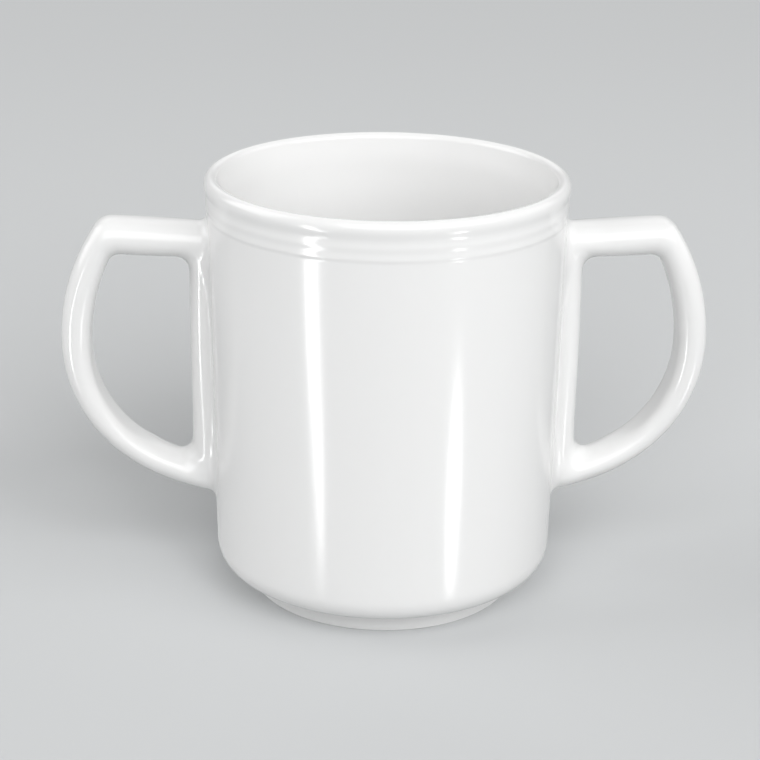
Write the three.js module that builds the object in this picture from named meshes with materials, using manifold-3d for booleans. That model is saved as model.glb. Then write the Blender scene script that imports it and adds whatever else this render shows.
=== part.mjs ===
// Two-handled porcelain mug with a stacking foot, in millimetres, +Z up.
// The mug stands on Z = 0 with its axis on Z and its handles along -X and +X.
import * as THREE from "three";
import { mergeVertices } from "three/addons/utils/BufferGeometryUtils.js";
import Module from "manifold-3d";

const wasm = await Module();
wasm.setup();

// Body
const HEIGHT = 96.2;
const RIM_DIAMETER = 80;
const LIP_THICKNESS = 2.8;
const LIP_PROUD = 0.3;
const LIP_CREST_DROP = 2;
const LIP_HEIGHT = 3;
const WALL_THICKNESS = 3.2;
const WALL_DRAFT_DEG = 0.9;
const FLOOR_THICKNESS = 4.4;
const INSIDE_CORNER = 8;
const BASE_CORNER_WIDTH = 3.5;
const BASE_CORNER_HEIGHT = 5.3;
const TURN_STEPS = 72;

// Relief rings below the lip
const RELIEF_DROP = 5.6;
const RELIEF_PITCH = 2.35;
const RELIEF_WIDTH = 2.2;
const RELIEF_HEIGHT = 0.14;

// Stacking foot
const FOOT_DIAMETER = 60.2;
const FOOT_HEIGHT = 5.8;
const FOOT_RING_WIDTH = 3.8;
const FOOT_RECESS = 4.4;
const FOOT_EDGE = 0.45;

// Handle
const HANDLE_DEPTH = 11.6;
const HANDLE_REACH = 32.2;
const HANDLE_TOP_DROP = 11;
const BAR_THICKNESS = 7.9;
const BAR_RISE_DEG = 3.1;
const BAR_CORNER = 4.3;
const ARM_DROP = 37.9;
const ARM_THICKNESS = 6.5;
const ARM_UPPER_RADIUS = 46.6;
const ARM_LOWER_RADIUS = 34.4;
const ROOT_RADIUS = 45.5;
const ROOT_ANGLE_DEG = 46.5;
const EDGE_SHARE = 0.38;
const CURVE_STEPS = 6;

// Finger opening of the handle
const SPINE_DEPTH = 3.6;
const OPENING_SINK = 1.85;
const OPENING_UPPER_RADIUS = 47;
const OPENING_LOWER_RADIUS = 27;
const OPENING_BEND_RADIUS = 20;
const OPENING_BEND_FROM_DEG = 41;
const OPENING_BEND_TO_DEG = 63.5;
const OPENING_CORNER = 3.1;

// Slip joint between handle and wall
const JOINT_GAP = 0.3;
const SLIP_THICKNESS = 0.5;
const SLIP_FLARE = 1.8;

const rimRadius = RIM_DIAMETER / 2;
const draft = Math.tan(THREE.MathUtils.degToRad(WALL_DRAFT_DEG));
const wallRadius = (z) => rimRadius - LIP_PROUD - (HEIGHT - z) * draft;

// Points on an arc of an ellipse in the profile plane, angles in degrees from the +X side.
function arc(x, y, xRadius, yRadius, fromDeg, toDeg, steps) {
  const from = THREE.MathUtils.degToRad(fromDeg);
  const to = THREE.MathUtils.degToRad(toDeg);
  return new THREE.EllipseCurve(x, y, xRadius, yRadius, from, to, to < from).getPoints(steps);
}

// A closed solid from a three.js geometry.
function solid(geometry) {
  geometry.deleteAttribute("normal");
  geometry.deleteAttribute("uv");
  const merged = mergeVertices(geometry, 1e-3);
  return new wasm.Manifold(
    new wasm.Mesh({
      numProp: 3,
      vertProperties: merged.attributes.position.array,
      triVerts: new Uint32Array(merged.index.array),
    }),
  );
}

// A named mesh from a solid.
function piece(name, body) {
  const mesh = body.getMesh();
  const geometry = new THREE.BufferGeometry();
  geometry.setAttribute("position", new THREE.BufferAttribute(mesh.vertProperties, 3));
  geometry.setIndex(new THREE.BufferAttribute(mesh.triVerts, 1));
  geometry.computeVertexNormals();
  const glaze = new THREE.MeshStandardMaterial({ color: 0xecebe6, roughness: 0.15, metalness: 0 });
  const made = new THREE.Mesh(geometry, glaze);
  made.name = name;
  return made;
}

// A profile of (radius, height) points turned about Z.
function turned(profile) {
  return solid(new THREE.LatheGeometry(profile, TURN_STEPS).rotateX(Math.PI / 2));
}

// One raised ring: points up the wall over a smooth crest at the given height.
function reliefRing(crest) {
  const points = [];
  for (let step = -3; step <= 3; step++) {
    const z = crest + (step / 6) * RELIEF_WIDTH;
    const rise = RELIEF_HEIGHT * Math.cos((step / 6) * Math.PI);
    points.push(new THREE.Vector2(wallRadius(z) + rise, z));
  }
  return points;
}

const reliefRings = [
  ...reliefRing(HEIGHT - RELIEF_DROP - RELIEF_PITCH),
  ...reliefRing(HEIGHT - RELIEF_DROP),
];

function mugBody() {
  const footRadius = FOOT_DIAMETER / 2;
  const ringInside = footRadius - FOOT_RING_WIDTH;
  const cornerTop = FOOT_HEIGHT + BASE_CORNER_HEIGHT;
  const cornerRadius = wallRadius(cornerTop) - BASE_CORNER_WIDTH;
  const lipRound = LIP_THICKNESS / 2;
  const lipCentre = rimRadius - lipRound;
  const floorTop = FOOT_RECESS + FLOOR_THICKNESS;
  const lowInside = wallRadius(floorTop) - WALL_THICKNESS;
  const lipBottom = HEIGHT - lipRound - LIP_HEIGHT;
  const profile = [
    new THREE.Vector2(0, FOOT_RECESS),
    ...arc(ringInside - FOOT_EDGE, FOOT_RECESS - FOOT_EDGE, FOOT_EDGE, FOOT_EDGE, 90, 0, 3),
    ...arc(ringInside + FOOT_EDGE, FOOT_EDGE, FOOT_EDGE, FOOT_EDGE, 180, 270, 3),
    ...arc(footRadius - FOOT_EDGE, FOOT_EDGE, FOOT_EDGE, FOOT_EDGE, 270, 360, 3),
    ...arc(footRadius + FOOT_EDGE, FOOT_HEIGHT - FOOT_EDGE, FOOT_EDGE, FOOT_EDGE, 180, 90, 3),
    ...arc(cornerRadius, cornerTop, BASE_CORNER_WIDTH, BASE_CORNER_HEIGHT, 270, 360, 7),
    ...reliefRings,
    ...arc(lipCentre, HEIGHT - LIP_CREST_DROP, lipRound, LIP_CREST_DROP, 0, 90, 5),
    ...arc(lipCentre, HEIGHT - lipRound, lipRound, lipRound, 90, 180, 4).slice(1),
    new THREE.Vector2(wallRadius(lipBottom) - WALL_THICKNESS, lipBottom),
    ...arc(lowInside - INSIDE_CORNER, floorTop + INSIDE_CORNER, INSIDE_CORNER, INSIDE_CORNER, 360, 270, 6),
    new THREE.Vector2(0, floorTop),
  ];
  return turned(profile);
}

// The outside of the wall, grown by a clearance and filled in, for fitting the joint.
function wallSolid(grow) {
  return turned([
    new THREE.Vector2(0, 0),
    new THREE.Vector2(wallRadius(0) + grow, 0),
    ...reliefRings.map((point) => new THREE.Vector2(point.x + grow, point.y)),
    new THREE.Vector2(wallRadius(HEIGHT) + grow, HEIGHT),
    new THREE.Vector2(0, HEIGHT),
  ]);
}

// Handle outline in the plane of the axis: x is the distance from the axis, y the height.
const topZ = HEIGHT - HANDLE_TOP_DROP;
const topRadius = wallRadius(topZ);
const rise = Math.tan(THREE.MathUtils.degToRad(BAR_RISE_DEG));
const riseLength = Math.hypot(1, rise);
const armX = rimRadius + HANDLE_REACH;
const armZ = HEIGHT - ARM_DROP;
const footX = wallRadius(0);
const backX = footX - 2 * WALL_THICKNESS;
const barLine = (x, below) => topZ + (x - topRadius) * rise - below * riseLength;

// Centre of the round that meets the line below the bar's top and, from inside, a circle.
function cornerCentre(below, circleX, circleZ, radius, round) {
  const offset = barLine(circleX, below + round) - circleZ;
  const reach = radius - round;
  const a = 1 + rise * rise;
  const b = rise * offset;
  const x = (-b + Math.sqrt(b * b - a * (offset * offset - reach * reach))) / a;
  return new THREE.Vector2(circleX + x, circleZ + offset + x * rise);
}

// Centre of the lower root arc, which carries on from the arm's lower arc.
function rootCentre() {
  const angle = THREE.MathUtils.degToRad(ROOT_ANGLE_DEG);
  const step = ROOT_RADIUS - ARM_LOWER_RADIUS;
  const x = armX - ARM_LOWER_RADIUS - step * Math.cos(angle);
  return new THREE.Vector2(x, armZ + step * Math.sin(angle));
}

// Height of the handle's underside at a distance from the axis near the wall.
function rootZ(x) {
  const centre = rootCentre();
  return centre.y - Math.sqrt(ROOT_RADIUS ** 2 - (x - centre.x) ** 2);
}

// The points of a path, without the doubled ones where its arcs meet.
function spacedPoints(path) {
  const points = path.getPoints(CURVE_STEPS);
  return points.filter((point, i) => i === 0 || point.distanceTo(points[i - 1]) > 0.01);
}

function outerOutline() {
  const angle = THREE.MathUtils.degToRad(ROOT_ANGLE_DEG);
  const root = rootCentre();
  const upperX = armX - ARM_UPPER_RADIUS;
  const corner = cornerCentre(0, upperX, armZ, ARM_UPPER_RADIUS, BAR_CORNER);
  const turn = Math.atan2(corner.y - armZ, corner.x - upperX);
  const level = Math.PI / 2 + Math.atan(rise);
  const start = -Math.acos((footX - root.x) / ROOT_RADIUS);
  const path = new THREE.Path();
  path.moveTo(backX, rootZ(footX));
  path.lineTo(footX, rootZ(footX));
  path.absarc(root.x, root.y, ROOT_RADIUS, start, -angle, false);
  path.absarc(armX - ARM_LOWER_RADIUS, armZ, ARM_LOWER_RADIUS, -angle, 0, false);
  path.absarc(upperX, armZ, ARM_UPPER_RADIUS, 0, turn, false);
  path.absarc(corner.x, corner.y, BAR_CORNER, turn, level, false);
  path.lineTo(backX, barLine(backX, 0));
  return spacedPoints(path);
}

function openingOutline() {
  const left = rimRadius + SPINE_DEPTH;
  const right = armX - ARM_THICKNESS;
  const midZ = armZ - OPENING_SINK;
  const round = OPENING_CORNER;
  const from = THREE.MathUtils.degToRad(OPENING_BEND_FROM_DEG);
  const to = THREE.MathUtils.degToRad(OPENING_BEND_TO_DEG);
  const upperX = right - OPENING_UPPER_RADIUS;
  const lowerX = right - OPENING_LOWER_RADIUS;
  const corner = cornerCentre(BAR_THICKNESS, upperX, midZ, OPENING_UPPER_RADIUS, round);
  const turn = Math.atan2(corner.y - midZ, corner.x - upperX);
  const level = Math.PI / 2 + Math.atan(rise);
  const inward = OPENING_LOWER_RADIUS - OPENING_BEND_RADIUS;
  const bend = new THREE.Vector2(lowerX + inward * Math.cos(from), midZ - inward * Math.sin(from));
  const slope = Math.PI / 2 - to;
  const endX = bend.x + OPENING_BEND_RADIUS * Math.cos(to);
  const endZ = bend.y - OPENING_BEND_RADIUS * Math.sin(to);
  const lowZ = endZ + (left + round - endX) * Math.tan(slope) + round / Math.cos(slope);
  const path = new THREE.Path();
  path.absarc(bend.x, bend.y, OPENING_BEND_RADIUS, -to, -from, false);
  path.absarc(lowerX, midZ, OPENING_LOWER_RADIUS, -from, 0, false);
  path.absarc(upperX, midZ, OPENING_UPPER_RADIUS, 0, turn, false);
  path.absarc(corner.x, corner.y, round, turn, level, false);
  path.absarc(left + round, barLine(left + round, BAR_THICKNESS + round), round, level, Math.PI, false);
  path.absarc(left + round, lowZ, round, Math.PI, 1.5 * Math.PI + slope, false);
  return spacedPoints(path);
}

// The handle before its back is fitted to the wall, grown by a clearance all round.
function handleBlank(grow) {
  const edge = EDGE_SHARE * ARM_THICKNESS;
  const shape = new THREE.Shape(outerOutline());
  shape.holes.push(new THREE.Path(openingOutline()));
  const geometry = new THREE.ExtrudeGeometry(shape, {
    depth: HANDLE_DEPTH + 2 * grow - 2 * edge,
    bevelThickness: edge,
    bevelSize: edge,
    bevelOffset: grow - edge,
    bevelSegments: 4,
  });
  geometry.translate(0, 0, edge - HANDLE_DEPTH / 2 - grow);
  return solid(geometry.rotateX(Math.PI / 2));
}

function handle() {
  return handleBlank(0).subtract(wallSolid(2 * JOINT_GAP + SLIP_THICKNESS));
}

// The luting slip: a thin bed behind the handle with a flared rim round its foot.
function slipJoint() {
  const edge = EDGE_SHARE * ARM_THICKNESS;
  const half = HANDLE_DEPTH / 2 + SLIP_FLARE;
  const low = rootZ(topRadius) - SLIP_FLARE;
  const high = topZ + SLIP_FLARE;
  const round = edge + SLIP_FLARE;
  const foot = new THREE.Shape();
  foot.absarc(half - round, low + round, round, -Math.PI / 2, 0, false);
  foot.absarc(half - round, high - round, round, 0, Math.PI / 2, false);
  foot.absarc(round - half, high - round, round, Math.PI / 2, Math.PI, false);
  foot.absarc(round - half, low + round, round, Math.PI, 1.5 * Math.PI, false);
  foot.closePath();
  const geometry = new THREE.ExtrudeGeometry(foot, {
    depth: topRadius + JOINT_GAP - backX,
    bevelThickness: SLIP_FLARE,
    bevelSize: SLIP_FLARE,
    bevelOffset: -SLIP_FLARE,
    bevelSegments: 1,
    curveSegments: 4,
  });
  geometry.rotateX(Math.PI / 2).rotateZ(Math.PI / 2).translate(backX, 0, 0);
  const fitted = handleBlank(JOINT_GAP).subtract(wallSolid(JOINT_GAP + SLIP_THICKNESS));
  return solid(geometry).subtract(wallSolid(JOINT_GAP)).subtract(fitted);
}

const mug = new THREE.Group();
mug.name = "two_handled_mug";
mug.add(piece("mug_body", mugBody()));
mug.add(piece("right_handle", handle()));
mug.add(piece("right_handle_slip", slipJoint()));
mug.add(piece("left_handle", handle().rotate([0, 0, 180])));
mug.add(piece("left_handle_slip", slipJoint().rotate([0, 0, 180])));

export default mug;
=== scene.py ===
import math

import bmesh
import bpy
from bpy.props import FloatProperty, FloatVectorProperty, IntProperty, PointerProperty
from mathutils import Matrix, Quaternion, Vector
from mathutils.bvhtree import BVHTree
from mathutils.interpolate import poly_3d_calc


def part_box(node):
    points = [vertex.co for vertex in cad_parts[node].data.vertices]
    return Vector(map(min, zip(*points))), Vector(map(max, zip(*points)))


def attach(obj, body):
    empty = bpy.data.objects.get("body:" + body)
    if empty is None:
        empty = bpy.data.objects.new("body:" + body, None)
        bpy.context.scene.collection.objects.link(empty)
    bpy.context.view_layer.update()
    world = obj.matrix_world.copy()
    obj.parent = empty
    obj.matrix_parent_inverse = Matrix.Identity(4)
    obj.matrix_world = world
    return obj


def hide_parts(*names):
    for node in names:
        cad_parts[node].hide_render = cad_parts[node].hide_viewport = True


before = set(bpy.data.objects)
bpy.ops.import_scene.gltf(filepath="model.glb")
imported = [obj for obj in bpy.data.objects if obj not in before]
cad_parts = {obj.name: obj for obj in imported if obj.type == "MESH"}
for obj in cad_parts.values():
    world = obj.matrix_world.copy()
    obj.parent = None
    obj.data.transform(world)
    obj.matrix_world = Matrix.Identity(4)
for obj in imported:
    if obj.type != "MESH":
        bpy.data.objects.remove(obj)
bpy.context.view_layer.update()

bl_info = {
    "name": "Two-handled porcelain mug",
    "version": (1, 0, 0),
    "blender": (4, 5, 0),
    "location": "3D View > Sidebar > Mug",
    "description": "Makes a glazed porcelain mug with two closed handles over its packed frame",
    "category": "Add Mesh",
}

BODY_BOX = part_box("mug_body")
HANDLE_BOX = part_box("right_handle")

# Steps along the body's half section
RECESS_STEPS = 6
EDGE_STEPS = 6
CORNER_STEPS = 14
WALL_STEPS = 24
COLLAR_STEPS = 48
SWELL_STEPS = 12
LIP_OUTSIDE_STEPS = 14
LIP_INSIDE_STEPS = 12
FLOOR_STEPS = 8

# Steps along the handle's two outlines, which have as many points as each other
LOWER_EDGE_STEPS = 5
BEND_STEPS = 5
ARM_STEPS = 12
BAR_END_STEPS = 5
BAR_STEPS = 9
SEAT_STEPS = 4
SPINE_STEPS = 17
SECTION_STEPS = 8
ROUNDING_LEVELS = 2

# Steps of the slip round the handle's foot and over its fillet
SIDE_STEPS = 80
END_STEPS = 36
FILLET_STEPS = 10
FIT_ROUNDS = 4

# Slip: share of the foot's height over which its fillet changes, the least fall of the handle's
# side towards the wall, and shares of the fillet by which it laps, sinks in and fills the corner
END_RUN = 0.35
LEAST_FALL = 0.3
LAP = 0.25
SINK = 0.03
FILL = 0.4

# Distances in metres below which points are one
TURN_MERGE = 1e-6
SWEEP_MERGE = 1e-7
ON_WALL = 1e-5

# Glaze: heights in metres where the bare ring starts and is full, and noise per metre
BARE_START = 0.0007
BARE_FULL = 0.0003
POOLING_SCALE = 38.0
RIPPLE_SCALE = 110.0
PEEL_SCALE = 900.0
GRAIN_SCALE = 5200.0
GLAZE_IOR = 1.52

# Roughness of glaze and bare porcelain, and what the noises add to it
GLAZE_ROUGHNESS = 0.05
POOLING_ROUGHNESS = 0.03
PEEL_ROUGHNESS = 0.02
BARE_ROUGHNESS = 0.62
GRAIN_ROUGHNESS = 0.2

# Bump of the surface, with the share of each noise and the distance in metres
RIPPLE_BUMP = 0.55
PEEL_BUMP = 0.05
GRAIN_BUMP = 0.4
BUMP_STRENGTH = 0.06
BUMP_DISTANCE = 0.0004

# Studio, in metres from the middle of the standing ring
LIGHT_AIM = Vector((0.0, 0.0, 0.05))
BOX_DISTANCE = 2.0
BOX_HEIGHT = 1.6
STRIP_DISTANCE = 0.75
STRIP_RADIANCE = 8.0
FILL_LIGHT = 0.1
FLOOR_HALF = 4.0
FLOOR_FADE_START = 0.25
FLOOR_FADE_END = 1.1

# Camera fitted to the photograph, in radians and metres, with its lens in millimetres
CAMERA_YAW = math.radians(2.5)
CAMERA_ELEVATION = 0.3582
CAMERA_ROLL = -0.0129
CAMERA_DISTANCE = 0.440
CAMERA_AIM = Vector((-0.0010856, 0.0, 0.047962))
CAMERA_LENS = 91.91
CAMERA_SENSOR = 36.0


def length(name, description, default):
    """A size in metres for a property group."""
    return FloatProperty(
        name=name, description=description, default=default, min=0.0, precision=5,
        unit="LENGTH", subtype="DISTANCE",
    )


def colour(name, description, default):
    """A linear colour for a property group."""
    return FloatVectorProperty(
        name=name, description=description, default=default, min=0.0, max=1.0,
        size=3, subtype="COLOR",
    )


def angle(name, description, degrees):
    """An angle for a property group, given in degrees."""
    return FloatProperty(
        name=name, description=description, default=math.radians(degrees),
        unit="ROTATION", subtype="ANGLE",
    )


class MugBodySizes(bpy.types.PropertyGroup):
    """Sizes of the turned body"""

    height: length("Height", "Standing ring to rim", BODY_BOX[1][2])
    rim_radius: length("Rim radius", "Axis to the outside of the lip", BODY_BOX[1][0])
    lip_thickness: length("Lip thickness", "Thickness of the rounded lip", 0.0028)
    lip_proud: length("Lip proud", "How far the lip stands out from the wall", 0.0003)
    lip_crest: length("Lip crest", "Rim down to the widest point of the lip", 0.002)
    lip_height: length("Lip height", "Rim down to where the lip meets the wall", 0.0042)
    wall: length("Wall", "Thickness of the wall", 0.0032)
    draft: angle("Draft", "Slope of the wall from upright", 0.9)
    floor: length("Floor", "Thickness of the floor above the foot recess", 0.0044)
    inside_corner: length("Inside corner", "Round between floor and wall inside", 0.008)
    corner_width: length("Corner width", "Width of the lower corner's round", 0.0035)
    corner_height: length("Corner height", "Height of the lower corner's round", 0.0053)
    relief_drop: length("Relief drop", "Rim down to the upper ring's crest", 0.0056)
    relief_pitch: length("Relief pitch", "Crest to crest of the two rings", 0.00235)
    relief_width: length("Relief width", "Width of one ring", 0.0022)
    relief_height: length("Relief height", "How far a ring's crest stands out", 0.00012)
    relief_groove: length("Relief groove", "Depth of the grooves beside a ring", 0.00006)
    band_foot: length("Band foot", "Rim down to the end of the plain band at a handle", 0.0076)
    band_step: length("Band step", "Height over which the plain band runs out", 0.001)
    relief_from: angle("Relief from", "Where the rings start to show beside a handle", 13)
    relief_full: angle("Relief full", "Where the rings have their full height", 26)
    foot_radius: length("Foot radius", "Outside of the stacking foot", 0.0301)
    foot_height: length("Foot height", "Height of the stacking foot", 0.0058)
    foot_ring: length("Foot ring", "Width of the standing ring", 0.0038)
    foot_recess: length("Foot recess", "Depth of the hollow under the foot", 0.0044)
    foot_edge: length("Foot edge", "Round on the edges of the foot", 0.00045)
    turn_steps: IntProperty(
        name="Turn steps", description="Steps in one turn", default=192, min=24,
    )


class MugHandleSizes(bpy.types.PropertyGroup):
    """Sizes of the two handles and their slip joints"""

    depth: length("Depth", "Handle from front to back", HANDLE_BOX[1][1] - HANDLE_BOX[0][1])
    reach: length("Reach", "Lip to the outermost point of the arm", 0.0322)
    top_drop: length("Top drop", "Rim down to the top of the bar at the wall", 0.011)
    bar: length("Bar", "Thickness of the top bar", 0.0079)
    bar_rise: angle("Bar rise", "Slope of the top bar away from the wall", 3.1)
    bar_corner: length("Bar corner", "Round between bar and arm outside", 0.0043)
    arm_drop: length("Arm drop", "Rim down to the arm's outermost point", 0.0379)
    arm: length("Arm", "Thickness of the arm", 0.0065)
    arm_upper: length("Arm upper radius", "Bow of the arm above its outermost point", 0.0466)
    arm_lower: length("Arm lower radius", "Bow of the arm below its outermost point", 0.0344)
    root_radius: length("Root radius", "Bow of the lower end towards the wall", 0.0455)
    root_angle: angle("Root angle", "Where the lower end takes over from the arm", 46.5)
    spine: length("Spine", "Lip to the finger side of the back strip", 0.0036)
    opening_drop: length("Opening drop", "Rim down to the opening's widest point", 0.03975)
    opening_upper: length("Opening upper radius", "Bow of the opening's upper side", 0.047)
    opening_lower: length("Opening lower radius", "Bow of the opening's lower side", 0.027)
    opening_bend: length("Opening bend", "Bend into the opening's lower edge", 0.02)
    bend_from: angle("Bend from", "Where the bend starts", 41)
    bend_to: angle("Bend to", "Where the bend ends", 63.5)
    opening_corner: length("Opening corner", "Round in the opening's corners", 0.0031)
    flat: length("Flat", "Least width of the flat side between the front and back rounds", 0.0016)
    seat: length("Seat", "How far the back strip reaches into the wall", 0.0024)
    seat_corner: length("Seat corner", "Round of the loop's two corners in the wall", 0.0032)
    end_fillet: length("End fillet", "Round of the slip at the bar and the lower root", 0.0024)
    side_fillet: length("Side fillet", "Round of the slip along the back strip", 0.0009)


class MugFinish(bpy.types.PropertyGroup):
    """Colours of glaze, bare porcelain and floor"""

    glaze: colour("Glaze", "Porcelain seen through clear glaze", (0.905, 0.905, 0.9))
    glaze_thick: colour("Thick glaze", "Where the glaze lies thicker", (0.885, 0.887, 0.886))
    bare: colour("Bare porcelain", "Unglazed standing ring", (0.74, 0.72, 0.67))
    floor: colour("Floor", "Studio floor and backdrop", (0.56, 0.57, 0.575))


class Wire:
    """A socket in a node tree that can be reckoned with."""

    def __init__(self, tree, socket=None):
        self.tree = tree
        self.socket = socket

    def node(self, kind, settings, inputs, output=0):
        """Add a node, set it up, fill its sockets and give back one of its outputs."""
        made = self.tree.nodes.new(kind)
        for key, value in settings.items():
            setattr(made, key, value)
        for key, value in inputs.items():
            if isinstance(value, Wire):
                self.tree.links.new(value.socket, made.inputs[key])
            else:
                made.inputs[key].default_value = value
        return Wire(self.tree, made.outputs[output] if made.outputs else None)

    def maths(self, operation, other):
        """Reckon with this value and another one."""
        return self.node("ShaderNodeMath", {"operation": operation}, {0: self, 1: other})

    def __add__(self, other):
        return self.maths("ADD", other)

    __radd__ = __add__

    def __mul__(self, other):
        return self.maths("MULTIPLY", other)

    __rmul__ = __mul__


def fresh_graph(owner):
    """An empty node tree on a material or a world."""
    owner.use_nodes = True
    owner.node_tree.nodes.clear()
    return Wire(owner.node_tree)


def mix_colour(graph, factor, first, second):
    """A colour between two colours."""
    return graph.node(
        "ShaderNodeMix", {"data_type": "RGBA"}, {0: factor, 6: first, 7: second}, 2
    )


def smooth_share(graph, value, start, full):
    """A smooth rise from 0 to 1 between two values."""
    return graph.node(
        "ShaderNodeMapRange", {"interpolation_type": "SMOOTHSTEP"},
        {"Value": value, "From Min": start, "From Max": full, "To Min": 0.0, "To Max": 1.0},
    )


def noise(graph, place, scale, detail):
    """A noise between 0 and 1 over the surface."""
    return graph.node(
        "ShaderNodeTexNoise", {}, {"Vector": place, "Scale": scale, "Detail": detail}, "Fac"
    )


def rgba(value):
    """A colour with full alpha."""
    return (*value, 1.0)


def white_glaze(finish):
    """Clear gloss glaze on white porcelain, bare on the standing ring."""
    material = bpy.data.materials.get("white_glaze")
    if material:
        return material
    material = bpy.data.materials.new("white_glaze")
    graph = fresh_graph(material)
    place = graph.node("ShaderNodeTexCoord", {}, {}, "Object")
    height = graph.node("ShaderNodeSeparateXYZ", {}, {0: place}, "Z")
    bare = smooth_share(graph, height, BARE_START, BARE_FULL)
    pooling = noise(graph, place, POOLING_SCALE, detail=2.0)
    ripple = noise(graph, place, RIPPLE_SCALE, detail=1.0)
    peel = noise(graph, place, PEEL_SCALE, detail=2.0)
    grain = noise(graph, place, GRAIN_SCALE, detail=3.0)
    glazed = mix_colour(graph, pooling, rgba(finish.glaze), rgba(finish.glaze_thick))
    tint = mix_colour(graph, bare, glazed, rgba(finish.bare))
    gloss = GLAZE_ROUGHNESS + pooling * POOLING_ROUGHNESS + peel * PEEL_ROUGHNESS
    rough = gloss + bare * (BARE_ROUGHNESS + grain * GRAIN_ROUGHNESS)
    relief = ripple * RIPPLE_BUMP + peel * PEEL_BUMP + bare * grain * GRAIN_BUMP
    bump = graph.node(
        "ShaderNodeBump", {},
        {"Height": relief, "Strength": BUMP_STRENGTH, "Distance": BUMP_DISTANCE},
    )
    shader = graph.node(
        "ShaderNodeBsdfPrincipled", {},
        {"Base Color": tint, "Roughness": rough, "Normal": bump, "IOR": GLAZE_IOR},
    )
    graph.node("ShaderNodeOutputMaterial", {}, {"Surface": shader})
    return material


def finished(shape, name, node, material):
    """Turn a bmesh into a piece that stands for a CAD node."""
    mesh = bpy.data.meshes.new(name)
    shape.to_mesh(mesh)
    shape.free()
    mesh.materials.append(material)
    piece = bpy.data.objects.new(name, mesh)
    bpy.context.scene.collection.objects.link(piece)
    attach(piece, "root")
    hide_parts(node)
    return piece


def arc(x, z, x_radius, z_radius, start, stop, steps):
    """Points on an arc in an upright plane, angles in degrees from the outward side."""
    points = []
    for step in range(steps + 1):
        turn = math.radians(start + (stop - start) * step / steps)
        points.append(Vector((x + x_radius * math.cos(turn), 0.0, z + z_radius * math.sin(turn))))
    return points


def round_arc(x, z, radius, start, stop, steps):
    """Points on an arc of a circle."""
    return arc(x, z, radius, radius, start, stop, steps)


def line(start, stop, steps):
    """Points on a straight line, both ends included."""
    return [start.lerp(stop, step / steps) for step in range(steps + 1)]


def ease(value, start, stop):
    """Smooth step from 0 to 1 between two values."""
    share = min(1.0, max(0.0, (value - start) / (stop - start)))
    return share * share * (3 - 2 * share)


def wall_radius(body, z):
    """Axis to the outside of the plain wall at a height."""
    return body.rim_radius - body.lip_proud - (body.height - z) * math.tan(body.draft)


def wall_normal(body, point):
    """Outward direction of the wall beside a point."""
    outward = Vector((point.x, point.y, 0.0)).normalized()
    return (outward - Vector((0.0, 0.0, math.tan(body.draft)))).normalized()


def collar_foot(body):
    """Rim down to where the lower ring meets the plain wall."""
    return body.relief_drop + body.relief_pitch + body.relief_width / 2


def collar_rise(body, drop):
    """How far the ringed collar stands out from the wall, at a distance below the rim."""
    wave = 0.5 - 0.5 * math.cos((drop - body.relief_drop) / body.relief_pitch * 2 * math.pi)
    fall = ease(drop, body.relief_drop + body.relief_pitch, collar_foot(body))
    return (body.relief_height - body.relief_groove * wave) * (1 - fall)


def collar(body):
    """Points up the outside over the two relief rings, to the groove under the lip."""
    foot = collar_foot(body)
    points = []
    for step in range(COLLAR_STEPS + 1):
        drop = foot + (body.lip_height - foot) * step / COLLAR_STEPS
        z = body.height - drop
        points.append(Vector((wall_radius(body, z) + collar_rise(body, drop), 0.0, z)))
    return points


def lip_swell(body):
    """Points up the outside from the collar to the widest point of the lip."""
    rise = collar_rise(body, body.lip_height)
    points = []
    for step in range(SWELL_STEPS + 1):
        share = step / SWELL_STEPS
        z = body.height - body.lip_height + share * (body.lip_height - body.lip_crest)
        low = wall_radius(body, z) + rise
        points.append(Vector((low + ease(share, 0, 1) * (body.rim_radius - low), 0.0, z)))
    return points


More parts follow.
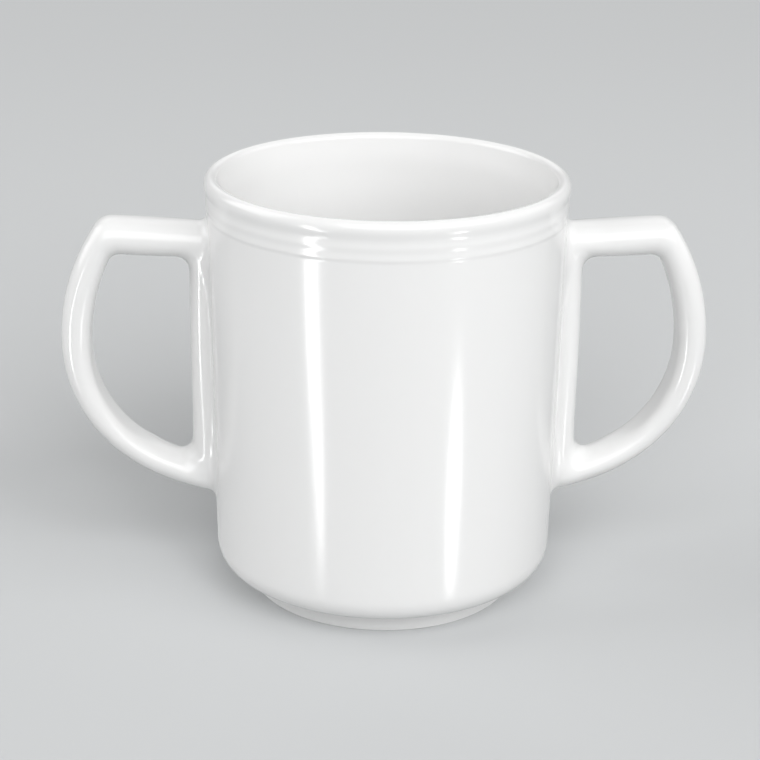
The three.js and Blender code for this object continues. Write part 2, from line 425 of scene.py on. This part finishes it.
def body_profile(body):
    """Half section of the body, from under the foot round the lip to the floor inside."""
    ring_inside = body.foot_radius - body.foot_ring
    edge = body.foot_edge
    corner_top = body.foot_height + body.corner_height
    corner_x = wall_radius(body, corner_top) - body.corner_width
    lip = body.lip_thickness / 2
    lip_x = body.rim_radius - lip
    lip_crest_z = body.height - body.lip_crest
    floor_top = body.foot_recess + body.floor
    lip_foot = body.height - body.lip_height
    inside_low = wall_radius(body, floor_top) - body.wall
    inside_high = wall_radius(body, lip_foot) - body.wall
    inside_corner_x = inside_low - body.inside_corner
    inside_corner_z = floor_top + body.inside_corner
    rings = collar(body)
    wall_foot = Vector((wall_radius(body, corner_top), 0.0, corner_top))
    low_corner = Vector((inside_low, 0.0, inside_corner_z))
    high_corner = Vector((inside_high, 0.0, lip_foot))
    floor_edge = Vector((inside_corner_x, 0.0, floor_top))
    recess_edge = Vector((ring_inside - edge, 0.0, body.foot_recess))
    return [
        *line(Vector((0.0, 0.0, body.foot_recess)), recess_edge, RECESS_STEPS)[:-1],
        *round_arc(ring_inside - edge, body.foot_recess - edge, edge, 90, 0, EDGE_STEPS),
        *round_arc(ring_inside + edge, edge, edge, 180, 270, EDGE_STEPS),
        *round_arc(body.foot_radius - edge, edge, edge, 270, 360, EDGE_STEPS),
        *round_arc(body.foot_radius + edge, body.foot_height - edge, edge, 180, 90, EDGE_STEPS),
        *arc(corner_x, corner_top, body.corner_width, body.corner_height,
             270, 360, CORNER_STEPS)[:-1],
        *line(wall_foot, rings[0], WALL_STEPS)[:-1],
        *rings[:-1],
        *lip_swell(body)[:-1],
        *arc(lip_x, lip_crest_z, lip, body.lip_crest, 0, 90, LIP_OUTSIDE_STEPS),
        *round_arc(lip_x, body.height - lip, lip, 90, 180, LIP_INSIDE_STEPS)[1:],
        *line(high_corner, low_corner, WALL_STEPS)[:-1],
        *round_arc(inside_corner_x, inside_corner_z, body.inside_corner,
                   360, 270, CORNER_STEPS)[:-1],
        *line(floor_edge, Vector((0.0, 0.0, floor_top)), FLOOR_STEPS),
    ]


def wash_rings(shape, body):
    """Let the relief rings run out into a plain raised band beside the handles."""
    low = body.height - collar_foot(body)
    high = body.height - body.lip_crest
    for vert in shape.verts:
        plain = wall_radius(body, vert.co.z)
        rise = math.hypot(vert.co.x, vert.co.y) - plain
        if low < vert.co.z < high and rise > -ON_WALL:
            drop = body.height - vert.co.z
            fall = ease(drop, body.band_foot - body.band_step, body.band_foot)
            band = max(body.relief_height * (1 - fall), rise if drop < body.lip_height else 0.0)
            beside = math.atan2(abs(vert.co.y), abs(vert.co.x))
            rise = band + (rise - band) * ease(beside, body.relief_from, body.relief_full)
            out = Vector((vert.co.x, vert.co.y)).normalized() * (plain + rise)
            vert.co.x = out.x
            vert.co.y = out.y


def wire_loop(shape, points, closed):
    """Edges through points, in a bmesh."""
    verts = [shape.verts.new(point) for point in points]
    pairs = list(zip(verts, verts[1:]))
    if closed:
        pairs.append((verts[-1], verts[0]))
    return [shape.edges.new(pair) for pair in pairs]


def smooth(shape):
    """Shade every face of a bmesh smooth."""
    for face in shape.faces:
        face.smooth = True


def sweep(sections, creases=()):
    """A closed tube through closed sections, with sharp edges along some of their points."""
    shape = bmesh.new()
    ring = wire_loop(shape, [section[0] for section in sections], closed=True)
    for row in range(1, len(sections[0])):
        if row - 1 in creases:
            for edge in ring:
                edge.smooth = False
        grown = bmesh.ops.extrude_edge_only(shape, edges=ring)["geom"]
        ring = [part for part in grown if isinstance(part, bmesh.types.BMEdge)]
        verts = [part for part in grown if isinstance(part, bmesh.types.BMVert)]
        for vert, section in zip(verts, sections, strict=True):
            vert.co = section[row]
    bmesh.ops.remove_doubles(shape, verts=shape.verts, dist=SWEEP_MERGE)
    bmesh.ops.recalc_face_normals(shape, faces=shape.faces)
    smooth(shape)
    return shape


class MUG_OT_body(bpy.types.Operator):
    """Turn the porcelain body with its lip, relief rings and stacking foot"""

    bl_idname = "mug.make_body"
    bl_label = "Body"

    def execute(self, context):
        body = context.scene.mug_body
        shape = bmesh.new()
        edges = wire_loop(shape, body_profile(body), closed=False)
        verts = list(shape.verts)
        bmesh.ops.spin(
            shape, geom=verts + edges, axis=(0, 0, 1), cent=(0, 0, 0), dvec=(0, 0, 0),
            angle=2 * math.pi, steps=body.turn_steps, use_merge=True,
        )
        bmesh.ops.remove_doubles(shape, verts=shape.verts, dist=TURN_MERGE)
        wash_rings(shape, body)
        bmesh.ops.recalc_face_normals(shape, faces=shape.faces)
        smooth(shape)
        finished(shape, "porcelain_body", "mug_body", white_glaze(context.scene.mug_finish))
        return {"FINISHED"}


class HandleOutline:
    """The handle's two outlines in the plane of the axis, x out from the axis and z up."""

    def __init__(self, body, sizes):
        self.body = body
        self.sizes = sizes
        self.top_z = body.height - sizes.top_drop
        self.top_x = wall_radius(body, self.top_z)
        self.rise = math.tan(sizes.bar_rise)
        self.level = 90 + math.degrees(sizes.bar_rise)
        self.arm_x = body.rim_radius + sizes.reach
        self.arm_z = body.height - sizes.arm_drop

    def bar_point(self, x, below):
        """A point at a distance below the bar's top face."""
        z = self.top_z + (x - self.top_x) * self.rise - below * math.hypot(1, self.rise)
        return Vector((x, 0.0, z))

    def corner(self, below, x, z, radius, rounding):
        """Centre of the round between a line under the bar's top and a circle, and its turn."""
        offset = self.bar_point(x, below + rounding).z - z
        reach = radius - rounding
        a = 1 + self.rise ** 2
        b = self.rise * offset
        run = (math.sqrt(b * b - a * (offset ** 2 - reach ** 2)) - b) / a
        climb = offset + run * self.rise
        return x + run, z + climb, math.degrees(math.atan2(climb, run))

    def outer(self):
        """Outside of the loop, from the lower root round the arm to the back in the wall."""
        sizes = self.sizes
        root = math.degrees(sizes.root_angle)
        step = sizes.root_radius - sizes.arm_lower
        lower_x = self.arm_x - sizes.arm_lower
        upper_x = self.arm_x - sizes.arm_upper
        root_x = lower_x - step * math.cos(sizes.root_angle)
        root_z = self.arm_z + step * math.sin(sizes.root_angle)
        corner_x, corner_z, turn = self.corner(
            0, upper_x, self.arm_z, sizes.arm_upper, sizes.bar_corner
        )
        seat = sizes.seat_corner
        top_x = self.top_x - sizes.seat + seat
        top_z = self.bar_point(top_x, seat).z
        low_x = wall_radius(self.body, root_z - sizes.root_radius) - sizes.seat + seat
        reach = sizes.root_radius - seat
        low_z = root_z - math.sqrt(reach ** 2 - (low_x - root_x) ** 2)
        start = math.degrees(math.atan2(low_z - root_z, low_x - root_x))
        bar_end = round_arc(corner_x, corner_z, sizes.bar_corner, turn, self.level, BAR_END_STEPS)
        seat_top = round_arc(top_x, top_z, seat, self.level, 180, SEAT_STEPS)
        seat_low = round_arc(low_x, low_z, seat, 180, 360 + start, SEAT_STEPS)
        root_steps = LOWER_EDGE_STEPS + BEND_STEPS
        return [
            *round_arc(root_x, root_z, sizes.root_radius, start, -root, root_steps)[:-1],
            *round_arc(lower_x, self.arm_z, sizes.arm_lower, -root, 0, ARM_STEPS)[:-1],
            *round_arc(upper_x, self.arm_z, sizes.arm_upper, 0, turn, ARM_STEPS)[:-1],
            *bar_end[:-1],
            *line(bar_end[-1], seat_top[0], BAR_STEPS)[:-1],
            *seat_top,
            *line(seat_top[-1], seat_low[0], SPINE_STEPS)[1:-1],
            *seat_low[:-1],
        ]

    def opening(self):
        """Inside of the loop, point for point beside the outer outline."""
        sizes = self.sizes
        left = self.body.rim_radius + sizes.spine
        right = self.arm_x - sizes.arm
        middle = self.body.height - sizes.opening_drop
        rounding = sizes.opening_corner
        corner_left = left + rounding
        start = math.degrees(sizes.bend_from)
        stop = math.degrees(sizes.bend_to)
        upper_x = right - sizes.opening_upper
        lower_x = right - sizes.opening_lower
        corner_x, corner_z, turn = self.corner(
            sizes.bar, upper_x, middle, sizes.opening_upper, rounding
        )
        inward = sizes.opening_lower - sizes.opening_bend
        bend_x = lower_x + inward * math.cos(sizes.bend_from)
        bend_z = middle - inward * math.sin(sizes.bend_from)
        bend = round_arc(bend_x, bend_z, sizes.opening_bend, -stop, -start, BEND_STEPS)
        slope = math.radians(90 - stop)
        low_z = (bend[0].z + (corner_left - bend[0].x) * math.tan(slope)
                 + rounding / math.cos(slope))
        high_z = self.bar_point(corner_left, sizes.bar + rounding).z
        low = round_arc(corner_left, low_z, rounding, 180, 360 - stop, SEAT_STEPS)
        high = round_arc(corner_left, high_z, rounding, self.level, 180, SEAT_STEPS)
        end = round_arc(corner_x, corner_z, rounding, turn, self.level, BAR_END_STEPS)
        return [
            *line(low[-1], bend[0], LOWER_EDGE_STEPS)[:-1],
            *bend[:-1],
            *round_arc(lower_x, middle, sizes.opening_lower, -start, 0, ARM_STEPS)[:-1],
            *round_arc(upper_x, middle, sizes.opening_upper, 0, turn, ARM_STEPS)[:-1],
            *end[:-1],
            *line(end[-1], high[0], BAR_STEPS)[:-1],
            *high,
            *line(high[-1], low[0], SPINE_STEPS)[1:-1],
            *low[:-1],
        ]


def handle_section(outside, inside, sizes):
    """A section across the loop: round in front and behind, flat towards hand and fingers."""
    middle = (outside + inside) / 2
    across = (outside - inside) / 2
    bulge = min(across.length, (sizes.depth - sizes.flat) / 2)
    points = []
    for side in (-1, 1):
        for step in range(SECTION_STEPS + 1):
            turn = math.pi * step / SECTION_STEPS
            out = side * (sizes.depth / 2 - bulge + bulge * math.sin(turn))
            points.append(middle - side * across * math.cos(turn) + Vector((0.0, out, 0.0)))
    return [*points, points[0]]


class MUG_OT_handles(bpy.types.Operator):
    """Cast the two closed handles with their back strips seated in the wall"""

    bl_idname = "mug.make_handles"
    bl_label = "Handles"

    def execute(self, context):
        sizes = context.scene.mug_handle
        outline = HandleOutline(context.scene.mug_body, sizes)
        pairs = list(zip(outline.outer(), outline.opening(), strict=True))
        for name, node, turn in (
            ("right_loop_handle", "right_handle", 0.0),
            ("left_loop_handle", "left_handle", math.pi),
        ):
            shape = sweep([handle_section(*pair, sizes) for pair in pairs])
            bmesh.ops.rotate(
                shape, verts=shape.verts, cent=(0, 0, 0), matrix=Matrix.Rotation(turn, 3, "Z")
            )
            piece = finished(shape, name, node, white_glaze(context.scene.mug_finish))
            rounding = piece.modifiers.new("rounding", "SUBSURF")
            rounding.levels = ROUNDING_LEVELS
            rounding.render_levels = ROUNDING_LEVELS
        return {"FINISHED"}


class HandleSkin:
    """The finished surface of a handle, for fitting the slip to it."""

    def __init__(self, name):
        graph = bpy.context.evaluated_depsgraph_get()
        self.mesh = bpy.data.objects[name].evaluated_get(graph).to_mesh()
        corners = [vert.co for vert in self.mesh.vertices]
        self.tree = BVHTree.FromPolygons(corners, [face.vertices for face in self.mesh.polygons])

    def hit(self, start, way):
        """Where a ray from inside meets the surface, and the smooth normal there."""
        place, _, face, _ = self.tree.ray_cast(start, way)
        if place is None:
            raise RuntimeError("the slip found no handle surface")
        verts = [self.mesh.vertices[i] for i in self.mesh.polygons[face].vertices]
        shares = poly_3d_calc([vert.co for vert in verts], place)
        normal = sum((vert.normal * share for vert, share in zip(verts, shares)), Vector())
        return place, normal.normalized()


def slip_stations(low, high, sizes):
    """Places round the handle's foot: a height on its middle line, a way out and a fillet."""
    run = END_RUN * (high - low)
    side = []
    for step in range(SIDE_STEPS):
        z = low + (high - low) * step / SIDE_STEPS
        share = 1 - ease(z, low, low + run) + ease(z, high - run, high)
        side.append((z, sizes.side_fillet + share * (sizes.end_fillet - sizes.side_fillet)))
    ends = [math.pi * step / END_STEPS for step in range(END_STEPS)]
    stations = [(z, 0.0, fillet) for z, fillet in side]
    stations += [(high, turn, sizes.end_fillet) for turn in ends]
    stations += [(z, math.pi, fillet) for z, fillet in [(high, sizes.end_fillet), *side[:0:-1]]]
    stations += [(low, math.pi + turn, sizes.end_fillet) for turn in ends]
    return stations


def slip_section(body, skin, side, station):
    """One section of the slip: from under the handle's skin, round the fillet, into the wall."""
    height, turn, fillet = station
    way = Vector((0.0, math.cos(turn), math.sin(turn)))
    start = Vector((side * (wall_radius(body, height) + fillet), 0.0, height))
    for _ in range(FIT_ROUNDS):
        place, normal = skin.hit(start, way)
        out = wall_radius(body, place.z) + fillet
        start.x = side * math.sqrt(out ** 2 - place.y ** 2)
    wall = wall_normal(body, place)
    down = (normal * normal.dot(wall) - wall).normalized()
    away = (normal - wall * normal.dot(wall)).normalized()
    gap = math.hypot(place.x, place.y) - wall_radius(body, place.z)
    fall = down * (gap / max(LEAST_FALL, -down.dot(wall)))
    crease = place + fall
    foot = crease + away * fall.length
    foot -= wall * (math.hypot(foot.x, foot.y) - wall_radius(body, foot.z))
    curve = []
    for step in range(FILLET_STEPS + 1):
        share = step / FILLET_STEPS
        curve.append(place.lerp(crease, share).lerp(crease.lerp(foot, share), share))
    under = place - down * fillet * LAP - normal * fillet * SINK
    sunk = foot + away * fillet * LAP - wall_normal(body, foot) * fillet * SINK
    inside = crease - normal * fillet * FILL - wall * fillet * FILL
    return [under, *curve, sunk, inside, under]


class MUG_OT_slip_joints(bpy.types.Operator):
    """Run a fillet of slip round the foot of each handle"""

    bl_idname = "mug.make_slip_joints"
    bl_label = "Slip joints"

    def execute(self, context):
        body = context.scene.mug_body
        sizes = context.scene.mug_handle
        outline = HandleOutline(body, sizes)
        low = outline.outer()[0].z + sizes.arm / 2
        high = outline.top_z - sizes.bar / 2
        stations = slip_stations(low, high, sizes)
        for name, node, handle, side in (
            ("right_slip_joint", "right_handle_slip", "right_loop_handle", 1),
            ("left_slip_joint", "left_handle_slip", "left_loop_handle", -1),
        ):
            skin = HandleSkin(handle)
            sections = [slip_section(body, skin, side, station) for station in stations]
            shape = sweep(sections, creases=(0, len(sections[0]) - 2))
            finished(shape, name, node, white_glaze(context.scene.mug_finish))
        return {"FINISHED"}


def area_light(name, azimuth, elevation, distance, width, tall, radiance, roll=0.0):
    """A lamp that faces the mug, placed by its direction in degrees from the front."""
    lamp = bpy.data.lights.new(name, "AREA")
    lamp.shape = "RECTANGLE"
    lamp.size = width
    lamp.size_y = tall
    lamp.energy = radiance * math.pi * width * tall
    made = bpy.data.objects.new(name, lamp)
    turn = math.radians(azimuth)
    lift = math.radians(elevation)
    way = Vector((
        math.sin(turn) * math.cos(lift), -math.cos(turn) * math.cos(lift), math.sin(lift)
    ))
    made.location = LIGHT_AIM + way * distance
    facing = way.to_track_quat("Z", "Y") @ Quaternion((0.0, 0.0, 1.0), math.radians(roll))
    made.rotation_euler = facing.to_euler()
    bpy.context.scene.collection.objects.link(made)
    return made


def soft_box(name, azimuth, elevation, width, radiance):
    """A large lamp for the soft light."""
    area_light(name, azimuth, elevation, BOX_DISTANCE, width, BOX_HEIGHT, radiance)


def strip_light(name, azimuth, elevation, width, tall, roll):
    """A slim strip that shows as a streak in the glaze and lights nothing else."""
    made = area_light(
        name, azimuth, elevation, STRIP_DISTANCE, width, tall, STRIP_RADIANCE, roll
    )
    made.data.shape = "ELLIPSE"
    made.visible_diffuse = False


def plain_floor(finish):
    """A wide pale floor that takes the mug's shadow and runs out into the even backdrop."""
    material = bpy.data.materials.new("studio_floor")
    graph = fresh_graph(material)
    place = graph.node("ShaderNodeTexCoord", {}, {}, "Object")
    away = graph.node("ShaderNodeVectorMath", {"operation": "LENGTH"}, {0: place}, "Value")
    far = smooth_share(graph, away, FLOOR_FADE_START, FLOOR_FADE_END)
    seen = graph.node("ShaderNodeLightPath", {}, {}, "Is Camera Ray")
    near = graph.node(
        "ShaderNodeBsdfDiffuse", {}, {"Color": rgba(finish.floor), "Roughness": 1.0}
    )
    even = graph.node("ShaderNodeEmission", {}, {"Color": rgba(finish.floor)})
    shader = graph.node("ShaderNodeMixShader", {}, {0: far * seen, 1: near, 2: even})
    graph.node("ShaderNodeOutputMaterial", {}, {"Surface": shader})
    shape = bmesh.new()
    bmesh.ops.create_grid(shape, x_segments=1, y_segments=1, size=FLOOR_HALF)
    mesh = bpy.data.meshes.new("studio_floor")
    shape.to_mesh(mesh)
    shape.free()
    mesh.materials.append(material)
    floor = bpy.data.objects.new("studio_floor", mesh)
    bpy.context.scene.collection.objects.link(floor)
    # The strips stand partly below the floor, so it neither hides nor shades them.
    floor.visible_glossy = False
    floor.visible_shadow = False


def studio_world(finish):
    """Even soft light, seen as the floor's own tone."""
    world = bpy.data.worlds.new("studio_world")
    graph = fresh_graph(world)
    camera = graph.node("ShaderNodeLightPath", {}, {}, "Is Camera Ray")
    shine = graph.node("ShaderNodeLightPath", {}, {}, "Is Glossy Ray")
    seen = camera + shine
    strength = FILL_LIGHT + seen * (1.0 - FILL_LIGHT)
    tone = mix_colour(graph, seen, (1.0, 1.0, 1.0, 1.0), rgba(finish.floor))
    light = graph.node("ShaderNodeBackground", {}, {"Color": tone, "Strength": strength})
    graph.node("ShaderNodeOutputWorld", {}, {"Surface": light})
    bpy.context.scene.world = world


def photo_camera():
    """A camera that looks at the mug from the photograph's angle."""
    data = bpy.data.cameras.new("photo_camera")
    data.sensor_width = CAMERA_SENSOR
    data.lens = CAMERA_LENS
    camera = bpy.data.objects.new("photo_camera", data)
    back = Vector((0.0, -math.cos(CAMERA_ELEVATION), math.sin(CAMERA_ELEVATION)))
    down = Vector((0.0, -math.sin(CAMERA_ELEVATION), -math.cos(CAMERA_ELEVATION)))
    right = Vector((1.0, 0.0, 0.0))
    across = right * math.cos(CAMERA_ROLL) + down * math.sin(CAMERA_ROLL)
    upward = right * math.sin(CAMERA_ROLL) - down * math.cos(CAMERA_ROLL)
    pose = Matrix((across, upward, back)).transposed().to_4x4()
    pose.translation = CAMERA_AIM + back * CAMERA_DISTANCE
    camera.matrix_world = Matrix.Rotation(-CAMERA_YAW, 4, "Z") @ pose
    bpy.context.scene.collection.objects.link(camera)
    bpy.context.scene.camera = camera


class MUG_OT_stage(bpy.types.Operator):
    """Set up the floor, the soft light and the camera"""

    bl_idname = "mug.make_stage"
    bl_label = "Stage"

    def execute(self, context):
        finish = context.scene.mug_finish
        context.scene.view_settings.view_transform = "Standard"
        plain_floor(finish)
        studio_world(finish)
        strip_light("left_strip", azimuth=-47.6, elevation=-19.3, width=0.085, tall=0.27, roll=29)
        strip_light("upper_strip", azimuth=-49.4, elevation=-9, width=0.085, tall=0.3, roll=0)
        strip_light("right_strip", azimuth=43.7, elevation=-25.2, width=0.105, tall=0.13, roll=-25)
        soft_box("right_box", azimuth=47, elevation=33, width=1.6, radiance=2.1)
        soft_box("front_box", azimuth=0, elevation=32, width=2.2, radiance=2.7)
        soft_box("left_box", azimuth=-98, elevation=28, width=1.6, radiance=2.4)
        soft_box("side_box", azimuth=100, elevation=28, width=1.6, radiance=0.9)
        soft_box("back_box", azimuth=180, elevation=40, width=2.2, radiance=0.7)
        photo_camera()
        return {"FINISHED"}


class MUG_PT_sidebar(bpy.types.Panel):
    """The mug's sizes, colours and steps"""

    bl_idname = "MUG_PT_sidebar"
    bl_label = "Two-handled mug"
    bl_space_type = "VIEW_3D"
    bl_region_type = "UI"
    bl_category = "Mug"

    def draw(self, context):
        layout = self.layout
        for step in (MUG_OT_body, MUG_OT_handles, MUG_OT_slip_joints, MUG_OT_stage):
            layout.operator(step.bl_idname)
        for group in (context.scene.mug_body, context.scene.mug_handle, context.scene.mug_finish):
            column = layout.column(align=True)
            for name in group.__annotations__:
                column.prop(group, name)


CLASSES = (
    MugBodySizes, MugHandleSizes, MugFinish, MUG_OT_body, MUG_OT_handles, MUG_OT_slip_joints,
    MUG_OT_stage, MUG_PT_sidebar,
)


def register():
    for cls in CLASSES:
        bpy.utils.register_class(cls)
    bpy.types.Scene.mug_body = PointerProperty(type=MugBodySizes)
    bpy.types.Scene.mug_handle = PointerProperty(type=MugHandleSizes)
    bpy.types.Scene.mug_finish = PointerProperty(type=MugFinish)


def unregister():
    del bpy.types.Scene.mug_finish
    del bpy.types.Scene.mug_handle
    del bpy.types.Scene.mug_body
    for cls in reversed(CLASSES):
        bpy.utils.unregister_class(cls)


def main():
    register()
    bpy.ops.mug.make_body()
    bpy.ops.mug.make_handles()
    bpy.ops.mug.make_slip_joints()
    bpy.ops.mug.make_stage()


if __name__ == "__main__":
    main()
